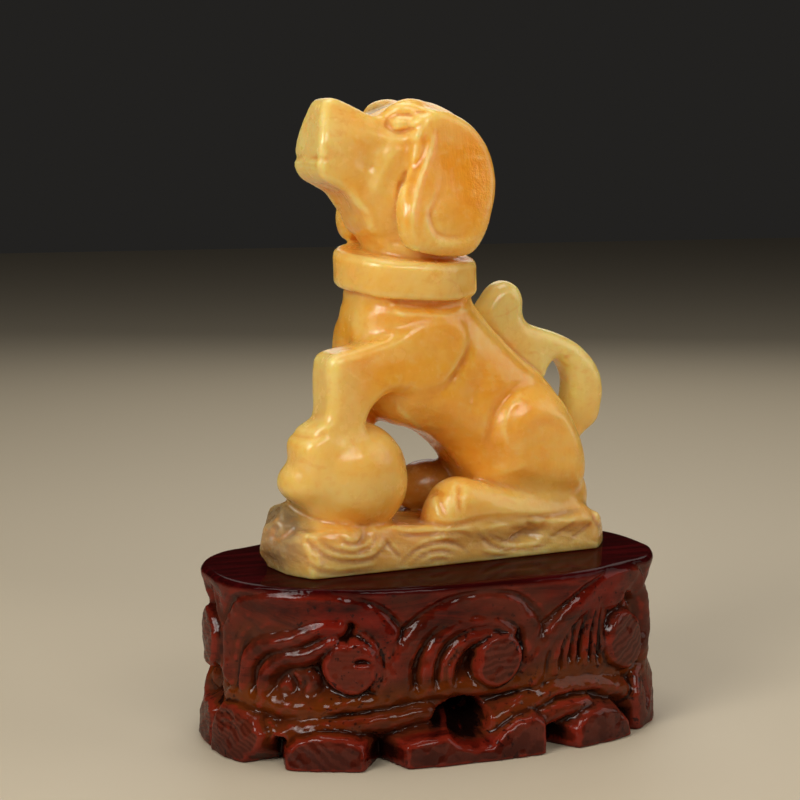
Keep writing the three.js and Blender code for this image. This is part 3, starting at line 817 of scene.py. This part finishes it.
    # Tool marks and unevenness.
    run, z = r.run[:, None], r.height[None, :]
    fade = np.clip((SEAT - 2 - z) / 4, 0, 1)
    turn = run / HALF_TURN * 2 * math.pi
    uneven = 0.0
    for n, m, amp in (
        (9, 0.21, 1.0), (-14, 0.33, 0.9), (23, -0.47, 0.7), (31, 0.66, 0.6), (-44, 0.9, 0.5)
    ):
        uneven = uneven + amp * np.sin(n * turn + m * z * 1.7 + n)
    r.depth += 0.16 * uneven * fade
    return r


def flare(height, most):
    """How far the stand has widened at a height, and most at its feet."""
    t = np.clip((FLARE_TOP - height) / FLARE_RUN, 0, 1)
    return most * t * t * (3 - 2 * t)


def build_stand():
    relief = carve_relief()
    s = Solid((-86, -56, -1.2), (86, 56, SEAT + 1.6), WOOD_STEP)
    x, y, z = s.axes
    gx, gy = np.meshgrid(x, y, indexing="ij")
    flat = np.stack([gx.ravel(), gy.ravel()], 1)
    inset = np.empty(len(flat))
    run = np.empty(len(flat))
    px, py = RIM_X[:-1], RIM_Y[:-1]
    tx, ty = np.gradient(RIM_X)[:-1], np.gradient(RIM_Y)[:-1]
    for start in range(0, len(flat), BATCH):
        batch = slice(start, start + BATCH)
        part = flat[batch]
        dd = (part[:, :1] - px) ** 2 + (part[:, 1:] - py) ** 2
        best = dd.argmin(1)
        length = np.hypot(tx[best], ty[best]) + 1e-9
        ax, ay = part[:, 0] - px[best], part[:, 1] - py[best]
        run[batch] = RIM_RUN[best] + (ax * tx[best] + ay * ty[best]) / length
        inset[batch] = np.sqrt(dd[np.arange(len(part)), best])
    inside = (np.abs(flat / RIM_HALF) ** RIM_POWER).sum(1) < 1
    inset = np.where(inside, -inset, inset).reshape(gx.shape)
    run = run.reshape(gx.shape)
    ends = np.clip(np.abs(gx) / RIM_HALF[0], 0, 1) ** 4
    spread = FLARE_SIDE * (1 - ends) + FLARE_END * ends
    d = np.empty(s.count, np.float32)
    for j, height in enumerate(z):
        depth = relief.read(relief.depth, run, np.full_like(run, height))
        d[:, :, j] = inset - flare(height, spread) + depth
    s.d = np.clip(d, -AWAY, AWAY)
    # Flat top with a softened edge, then the hollow underneath.
    gz = z.reshape(1, 1, -1)
    s.d = -smooth_min(-s.d, -(gz - SEAT), 2.6)
    s.d = np.maximum(s.d, gz - SEAT)
    hollow = np.maximum(np.broadcast_to(inset[:, :, None] + WALL, s.d.shape), gz - HOLLOW_TOP)
    s.d = -smooth_min(-s.d, hollow, 2.0)
    s.d = np.maximum(s.d, -gz)
    points, quads = s.skin()
    quads = outward(quads, points, s)
    bend = s.sample(s.bend(), points)
    cell = np.round((points[:, :2] - [x[0], y[0]]) / WOOD_STEP).astype(int)
    cell = tuple(np.clip(cell, 0, [len(x) - 1, len(y) - 1]).T)
    at = run[cell]
    height = points[:, 2]
    under = -inset[cell] + flare(height, 2)
    side = np.clip((SEAT - 1.2 - height) / 1.5, 0, 1)
    values = {
        "bend": bend,
        "depth": np.clip(under, 0, 40) * side,
        **{k: relief.read(getattr(relief, k), at, height) * side for k in ("sawn", "root", "pit")},
        "top": 1 - side,
        "low": np.clip(1 - height / 9, 0, 1),
    }
    piece = mesh_object("wood_stand", points / 1000, quads, values)
    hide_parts("carved_wood_stand")
    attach(piece, "stand")
    return piece


# ---------- Materials ----------
# The stone's colours.
HONEY, BUTTER, AMBER = (0.87, 0.41, 0.036), (0.91, 0.60, 0.160), (0.86, 0.335, 0.011)
CREAM, SMOKE, UMBER = (0.83, 0.655, 0.225), (0.20, 0.140, 0.070), (0.34, 0.135, 0.022)
# The crease colour is painted shade and the ridge colour painted light; DULL is the plinth's duller
# stone.
DULL, CREASE_SHADE, RIDGE_LIGHT = (0.58, 0.33, 0.135), (0.68, 0.25, 0.012), (0.93, 0.72, 0.30)
VEIN_LIGHT, VEIN_DARK = (0.92, 0.62, 0.19), (0.74, 0.27, 0.02)
FLECK_LIGHT, FLECK_DARK = (0.93, 0.68, 0.30), (0.74, 0.28, 0.02)
# The stand's colours.
STAIN_DARK, STAIN_RED = (0.014, 0.0010, 0.0007), (0.150, 0.0100, 0.0040)
BLOTCH, SHEEN_PATCH, DEEP_STAIN = (0.21, 0.011, 0.0055), (0.100, 0.024, 0.012), (0.090, 0.020, 0.006)
ROOT_DARK, ROOT_TAN = (0.05, 0.008, 0.0015), (0.20, 0.042, 0.004)
CUT_DARK, CUT_LIGHT = (0.062, 0.011, 0.006), (0.105, 0.021, 0.012)
STREAK, SHADOW, FOOT = (0.02, 0.003, 0.002), (0.005, 0.0016, 0.0012), (0.022, 0.0022, 0.0012)
WORN_AND_HIGHLIGHT, PORE = (0.24, 0.020, 0.009), (0.004, 0.002, 0.002)
TOP_REFLECTION_DARK, TOP_REFLECTION_RED = (0.020, 0.0012, 0.0012), (0.045, 0.002, 0.0025)


class Nodes:
    """Short names for building a node tree, with its colour and bump so far."""

    def __init__(self, name):
        self.material = bpy.data.materials.new(name)
        self.material.use_nodes = True
        self.tree = self.material.node_tree
        self.shader = self.tree.nodes["Principled BSDF"]
        self.place = self.tree.nodes.new("ShaderNodeTexCoord").outputs["Object"]
        self.colour = self.normal = None

    def feed(self, socket, value):
        if isinstance(value, bpy.types.NodeSocket):
            self.tree.links.new(value, socket)
        else:
            socket.default_value = value

    def add(self, kind, **inputs):
        node = self.tree.nodes.new(kind)
        for key, value in inputs.items():
            self.feed(node.inputs[key], value)
        return node

    def finish(self, **inputs):
        """Sets the shader's inputs and returns the material."""
        self.feed(self.shader.inputs["Base Color"], self.colour)
        self.feed(self.shader.inputs["Normal"], self.normal)
        for key, value in inputs.items():
            self.feed(self.shader.inputs[key.replace("_", " ")], value)
        return self.material

    def math(self, operation, a, b):
        node = self.tree.nodes.new("ShaderNodeMath")
        node.operation = operation
        self.feed(node.inputs[0], a)
        self.feed(node.inputs[1], b)
        return node.outputs[0]

    def times(self, a, b):
        return self.math("MULTIPLY", a, b)

    def span(self, value, low, high, a=0.0, b=1.0):
        """Goes smoothly from a to b as the value goes from low to high."""
        node = self.tree.nodes.new("ShaderNodeMapRange")
        node.interpolation_type = "SMOOTHSTEP"
        for i, v in enumerate((value, low, high, a, b)):
            self.feed(node.inputs[i], v)
        return node.outputs[0]

    def mix(self, factor, a, b):
        node = self.tree.nodes.new("ShaderNodeMix")
        node.data_type = "RGBA"
        self.feed(node.inputs[0], factor)
        for i, v in ((6, a), (7, b)):
            self.feed(node.inputs[i], v if isinstance(v, bpy.types.NodeSocket) else (*v, 1))
        return node.outputs[2]

    def paint(self, factor, colour):
        """Lays a colour over the ones so far."""
        self.colour = self.mix(factor, self.colour, colour)

    def dent(self, height, distance, strength):
        """Adds a bump to the ones so far."""
        node = self.add("ShaderNodeBump", Height=height, Distance=distance, Strength=strength)
        if self.normal:
            self.feed(node.inputs["Normal"], self.normal)
        self.normal = node.outputs[0]

    def value(self, name):
        """A float attribute of the mesh."""
        node = self.tree.nodes.new("ShaderNodeAttribute")
        node.attribute_name = name
        return node.outputs["Fac"]

    def stretch(self, scale, turn=(0, 0, 0)):
        return self.add("ShaderNodeMapping", Vector=self.place, Scale=scale, Rotation=turn).outputs[0]

    def noise(self, scale, detail=3.0, rough=0.5, bend=0.0, vector=None):
        return self.add(
            "ShaderNodeTexNoise", Vector=vector or self.place, Scale=scale, Detail=detail,
            Roughness=rough, Distortion=bend,
        ).outputs["Fac"]

    def waves(self, scale, bend, detail, vector, kind="BANDS"):
        node = self.add("ShaderNodeTexWave", Vector=vector, Scale=scale, Distortion=bend, Detail=detail)
        node.wave_type = kind
        return node.outputs["Fac"]


def jade_material():
    n = Nodes("jade")
    bend, base, clear_and_brow_shade = (n.value(k) for k in ("bend", "base", "clear_and_brow_shade"))
    cloud = n.noise(22, 4, 0.55, 0.6)
    veins = n.noise(60, 5, 0.6, 1.5, n.stretch((1, 1, 1.8), (0, 0.7, 0.3)))
    fine = n.noise(320, 3, 0.6)
    n.colour = n.mix(n.span(cloud, 0.38, 0.66), HONEY, BUTTER)
    # Warmer orange: the stone's own tone on body and ear, and painted shade in the creases between parts.
    n.paint(n.times(n.value("warm_and_crease_shade"), n.span(cloud, 0.75, 0.35, 0.6, 1.0)), AMBER)
    n.paint(n.value("pale"), CREAM)
    n.paint(n.times(n.span(veins, 0.56, 0.72), 0.35), VEIN_LIGHT)
    n.paint(n.times(n.span(veins, 0.44, 0.30), 0.30), VEIN_DARK)
    # Smoky tone: the clear rock's own colour, and painted shade on the far brow.
    n.paint(clear_and_brow_shade, SMOKE)
    n.paint(n.value("brown"), UMBER)
    # The plinth's duller stone, deepened in its hollows as painted shade.
    n.paint(n.times(base, n.span(cloud, 0.3, 0.7, 1.0, 0.65)), DULL)
    # Painted shade (a deeper orange) in the creases and painted light (a paler cream) on the ridges, both
    # less on the plinth and in the clear patches.
    plain = n.math("SUBTRACT", 0.45, n.times(n.math("MAXIMUM", base, clear_and_brow_shade), 0.33))
    n.paint(n.times(n.span(bend, 0.10, 0.8), plain), CREASE_SHADE)
    n.paint(n.times(n.span(bend, -0.08, -0.7), plain), RIDGE_LIGHT)
    n.paint(n.times(n.span(fine, 0.50, 0.75), 0.22), FLECK_LIGHT)
    n.paint(n.times(n.span(fine, 0.50, 0.28), 0.20), FLECK_DARK)
    # Polish over a wavy surface, with fine scratches, filed patches and swirls in the plinth.
    rub = n.noise(95, 4, 0.6)
    swirl = n.waves(55, 9, 3, n.stretch((0.6, 1, 2.2), (0.2, 0.5, 0.1)))
    scratch = n.noise(420, 2, 0.6, 0.0, n.stretch((1, 1, 0.12), (0.3, 1.0, 0.2)))
    n.dent(n.noise(45, 3, 0.5), 0.0012, 0.35)
    n.dent(scratch, 0.00018, 0.5)
    n.dent(rub, 0.0004, 0.35)
    n.dent(n.times(swirl, base), 0.0007, 0.35)
    n.dent(n.times(n.noise(260, 4, 0.7), n.value("rough")), 0.0008, 0.6)
    n.shader.inputs["Subsurface Radius"].default_value = (1.0, 0.68, 0.36)
    return n.finish(
        Roughness=n.span(rub, 0.35, 0.7, 0.16, 0.32), IOR=1.5, Subsurface_Weight=1.0,
        Subsurface_Scale=0.010,
    )


def wood_material():
    n = Nodes("lacquered_wood")
    names = ("bend", "depth", "sawn", "root", "pit", "top", "low")
    bend, depth, sawn, root, pit, top, low = (n.value(k) for k in names)
    grain = n.noise(55, 6, 0.65, 0.8, n.stretch((0.35, 1, 2.2)))
    streak = n.noise(240, 4, 0.6, 0.3, n.stretch((0.12, 1, 1)))
    blotch = n.noise(38, 4, 0.6, 0.4)
    n.colour = n.mix(n.span(grain, 0.32, 0.68), STAIN_DARK, STAIN_RED)
    n.paint(n.times(n.span(blotch, 0.5, 0.7), 0.55), BLOTCH)
    # Broad desaturated brown patches laid at random: a painted sheen.
    n.paint(n.span(n.noise(26, 2, 0.5), 0.42, 0.62, 0.0, 0.55), SHEEN_PATCH)
    n.paint(n.times(n.span(depth, 1.5, 4.5), n.span(grain, 0.35, 0.6, 0.35, 0.85)), DEEP_STAIN)
    n.paint(n.times(root, 0.9), n.mix(grain, ROOT_DARK, ROOT_TAN))
    rings = n.waves(160, 5, 2, n.stretch((1, 1, 1.3), (0.4, 0.2, 0)), "RINGS")
    n.paint(n.times(sawn, 0.8), n.mix(n.span(rings, 0.2, 0.9), CUT_DARK, CUT_LIGHT))
    n.paint(n.times(n.span(streak, 0.55, 0.75), 0.35), STREAK)
    # Painted shade in the crevices, the deep hollows and the hole, and feet darker towards the bottom.
    # The near-black colour here is painted shade, deepest where the carving lies furthest in.
    crevice = n.times(n.span(bend, 0.22, 1.3), n.span(blotch, 0.3, 0.65, 0.15, 0.85))
    deep = n.times(n.span(depth, 4.5, 13), 0.92)
    deep = n.math("MAXIMUM", deep, n.times(pit, n.span(depth, 1.5, 5)))
    n.paint(n.math("MAXIMUM", crevice, deep), SHADOW)
    # Darker towards the bottom.
    n.paint(n.times(low, 0.6), FOOT)
    # Ridges painted lighter, partly as wear rubbed through and partly as painted highlight; dark pores;
    # and the even top painted darker as a painted reflection.
    n.paint(n.times(n.span(bend, -0.2, -0.9), n.span(grain, 0.35, 0.6, 0.1, 0.6)), WORN_AND_HIGHLIGHT)
    speck = n.times(n.span(n.noise(430, 3, 0.6), 0.58, 0.68), n.span(blotch, 0.42, 0.58))
    n.paint(n.times(speck, 0.8), PORE)
    # The top's near-black colour is a painted reflection of darkness.
    n.paint(top, n.mix(n.span(streak, 0.4, 0.7), TOP_REFLECTION_DARK, TOP_REFLECTION_RED))
    # Gouge marks everywhere but the top, and saw marks on the sawn faces.
    side = n.math("SUBTRACT", 1.0, top)
    n.dent(n.times(n.noise(70, 3, 0.5, 0.5), side), 0.0022, 0.3)
    n.dent(n.times(n.noise(150, 4, 0.6, 0.6, n.stretch((1, 1, 0.5))), side), 0.0010, 0.3)
    n.dent(n.times(n.noise(330, 3, 0.6, 0.3, n.stretch((0.5, 1, 1))), side), 0.0006, 0.3)
    marks = n.waves(300, 6, 3, n.stretch((1, 1, 0.6), (0, 0.5, 0.9)))
    n.dent(n.times(marks, sawn), 0.00010, 0.5)
    n.dent(n.noise(90, 2, 0.5), 0.0001, 0.25)
    rough = n.span(n.noise(60, 4, 0.6), 0.35, 0.7, 0.22, 0.42)
    rough = n.math("ADD", rough, n.times(sawn, 0.10))
    return n.finish(
        Roughness=n.times(rough, n.span(top, 0, 1, 1.0, 0.35)), IOR=1.5,
        Coat_Weight=n.span(top, 0, 1, 0.38, 0.18), Coat_Roughness=0.09, Specular_IOR_Level=0.0,
    )


# ---------- Camera, floor and light, in metres ----------
VIEW_AZIMUTH, VIEW_ELEVATION = math.radians(-21), math.radians(7.3)
VIEW_DISTANCE = 0.700
VIEW_CENTRE = Vector((0, 0, 0.110))
VIEW_ASIDE, VIEW_ABOVE = -0.0106, 0.0030  # the aim's place in the picture from that centre
LENS = 91.6  # on a 36 mm sensor
FLOOR_COLOUR = (0.62, 0.535, 0.395, 1)
HAZE_COLOUR, HAZE_STRENGTH = (1.0, 0.95, 0.88, 1), 0.016
# Area lights: name, place, target, size, power and colour.
LIGHTS = (
    ("key", (-0.80, -0.50, 0.70), (0, 0, 0.1), (0.42, 0.42), 4.7, (1, 0.97, 0.92)),
    ("edge", (-1.00, -0.40, 0.62), (0, 0, 0.08), (0.40, 0.4), 2.6, (1, 0.97, 0.92)),
    ("fill", (1.0, -0.45, 0.55), (0, 0, 0.1), (0.9, 0.9), 3.5, (1, 0.96, 0.90)),
    ("front", (0.1, -1.5, 1.1), (0, 0, 0.1), (0.9, 0.4), 7.8, (1, 0.97, 0.92)),
    ("top", (0.0, 0.1, 1.1), (0, 0, 0.1), (0.6, 0.6), 3.7, (1, 0.97, 0.93)),
    ("back", (0.45, 0.9, 0.7), (0, 0, 0.12), (0.8, 0.6), 2.0, (1, 0.96, 0.9)),
)


def aim_camera():
    flat = math.cos(VIEW_ELEVATION)
    back = Vector((
        math.sin(VIEW_AZIMUTH) * flat, -math.cos(VIEW_AZIMUTH) * flat, math.sin(VIEW_ELEVATION)
    ))
    right = Vector((math.cos(VIEW_AZIMUTH), math.sin(VIEW_AZIMUTH), 0))
    up = back.cross(right)
    data = bpy.data.cameras.new("camera")
    data.sensor_width = 36
    data.lens = LENS
    data.clip_start = 0.01
    camera = bpy.data.objects.new("camera", data)
    camera.matrix_world = Matrix((right, up, back)).transposed().to_4x4()
    camera.location = VIEW_CENTRE + right * VIEW_ASIDE + up * VIEW_ABOVE + back * VIEW_DISTANCE
    bpy.context.scene.collection.objects.link(camera)
    bpy.context.scene.camera = camera


def lay_floor():
    bpy.ops.mesh.primitive_plane_add(size=6, location=(0, 0, 0))
    floor = bpy.context.object
    floor.name = "floor"
    material = bpy.data.materials.new("floor")
    material.use_nodes = True
    shader = material.node_tree.nodes["Principled BSDF"]
    shader.inputs["Base Color"].default_value = FLOOR_COLOUR
    shader.inputs["Roughness"].default_value = 0.55
    floor.data.materials.append(material)


def light_scene():
    world = bpy.data.worlds.new("studio")
    bpy.context.scene.world = world
    world.use_nodes = True
    background = world.node_tree.nodes["Background"]
    background.inputs["Color"].default_value = HAZE_COLOUR
    background.inputs["Strength"].default_value = HAZE_STRENGTH
    for name, place, target, size, power, colour in LIGHTS:
        data = bpy.data.lights.new(name, "AREA")
        data.shape = "RECTANGLE"
        data.size, data.size_y = size
        data.energy = power
        data.color = colour
        light = bpy.data.objects.new(name, data)
        light.location = place
        light.rotation_euler = (Vector(target) - Vector(place)).to_track_quat("-Z", "Y").to_euler()
        bpy.context.scene.collection.objects.link(light)


bpy.context.scene.view_settings.view_transform = "Standard"
aim_camera()
lay_floor()
light_scene()
dog = build_dog()
dog.data.materials.append(jade_material())
stand = build_stand()
stand.data.materials.append(wood_material())
